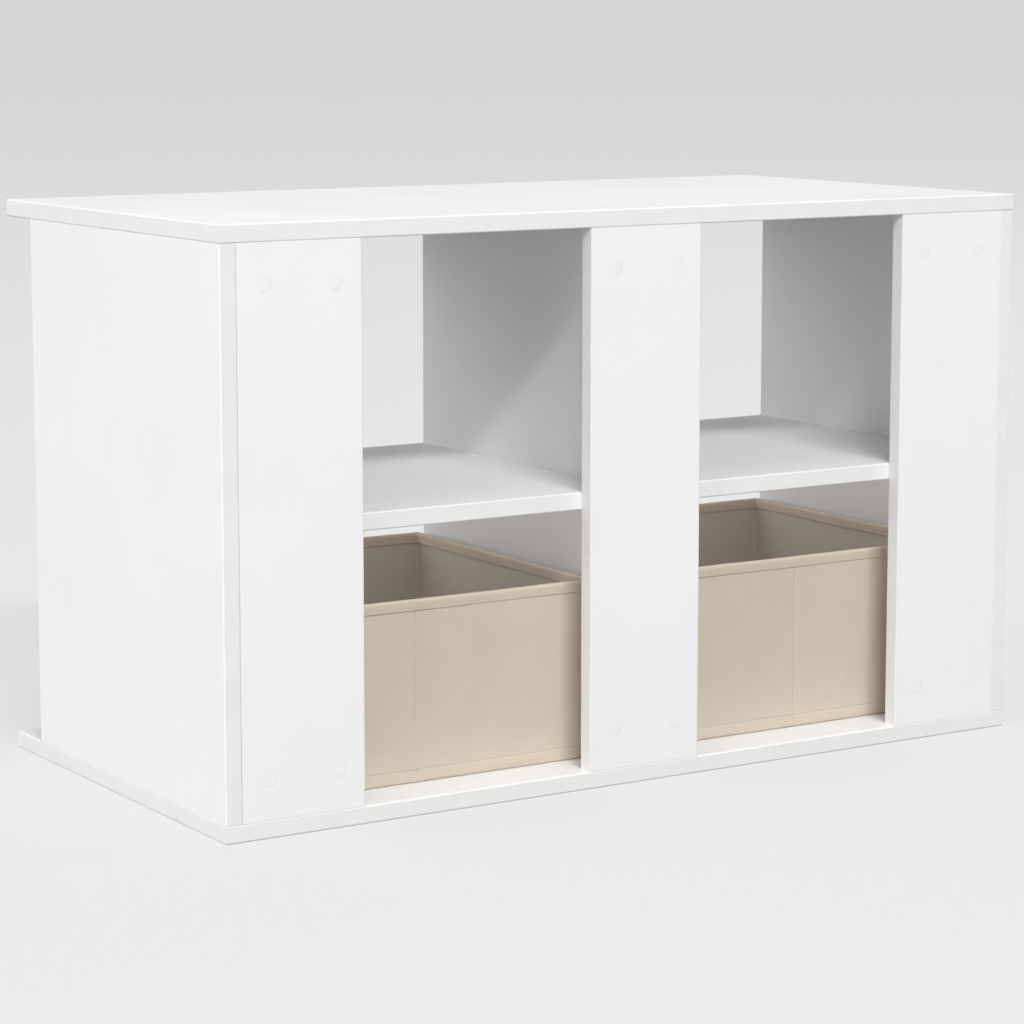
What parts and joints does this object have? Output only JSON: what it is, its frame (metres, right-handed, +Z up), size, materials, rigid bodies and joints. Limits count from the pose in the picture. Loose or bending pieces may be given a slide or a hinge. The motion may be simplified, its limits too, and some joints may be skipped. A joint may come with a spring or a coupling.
{
  "type": "aquarium stand cabinet",
  "caption": "Low white open-backed cabinet that carries an aquarium, with broad front posts, shelves and slide-out fabric storage baskets in the lower bays.",
  "frame": {"origin": "on the floor, under the middle of the bottom panel", "axes": "+X to the right along the cabinet's length as seen from the front, -Y out of the front, +Z up"},
  "size_m": [0.81, 0.41, 0.495],
  "materials": {
    "white_melamine_board": "15 mm particle board with a fine-textured white melamine face",
    "white_edge_band": "white plastic edge band, rounded along its long corners",
    "cam_zinc": "die-cast zinc",
    "cover_cap_plastic": "white moulded cap",
    "bolt_steel": "zinc-plated steel",
    "dowel_beech": "fluted beech",
    "basket_cloth": "beige non-woven cloth with sewn seams",
    "basket_binding_cloth": "beige folded and stitched rim binding",
    "basket_lining_cloth": "beige non-woven cloth",
    "stiffener_board": "grey-brown card",
    "basket_base_board": "card wrapped in beige non-woven cloth"
  },
  "bodies": {
    "cabinet": {"bottom_panel": "white_melamine_board", "top_panel": "white_melamine_board", "left_side_panel": "white_melamine_board", "right_side_panel": "white_melamine_board", "centre_divider": "white_melamine_board", "left_shelf": "white_melamine_board", "right_shelf": "white_melamine_board", "left_front_post": "white_melamine_board", "centre_front_post": "white_melamine_board", "right_front_post": "white_melamine_board", "bottom_panel_edging": "white_edge_band", "top_panel_edging": "white_edge_band", "left_side_panel_edging": "white_edge_band", "right_side_panel_edging": "white_edge_band", "centre_divider_edging": "white_edge_band", "left_shelf_edging": "white_edge_band", "right_shelf_edging": "white_edge_band", "left_front_post_edging": "white_edge_band", "centre_front_post_edging": "white_edge_band", "right_front_post_edging": "white_edge_band", "cam_locks": "cam_zinc", "cam_cover_caps": "cover_cap_plastic", "cam_bolts": "bolt_steel", "double_ended_cam_bolts": "bolt_steel", "wooden_dowels": "dowel_beech"},
    "left_basket": {"left_basket_cover": "basket_cloth", "left_basket_wall_boards": "stiffener_board", "left_basket_lining": "basket_lining_cloth", "left_basket_rim_binding": "basket_binding_cloth", "left_basket_base_board": "basket_base_board"},
    "right_basket": {"right_basket_cover": "basket_cloth", "right_basket_wall_boards": "stiffener_board", "right_basket_lining": "basket_lining_cloth", "right_basket_rim_binding": "basket_binding_cloth", "right_basket_base_board": "basket_base_board"}
  },
  "joints": [
    {"name": "left_basket_slide", "type": "slide", "parent": "cabinet", "child": "left_basket", "axis": [0, 1, 0], "range_m": [0, 0.38]},
    {"name": "right_basket_slide", "type": "slide", "parent": "cabinet", "child": "right_basket", "axis": [0, 1, 0], "range_m": [0, 0.38]}
  ]
}
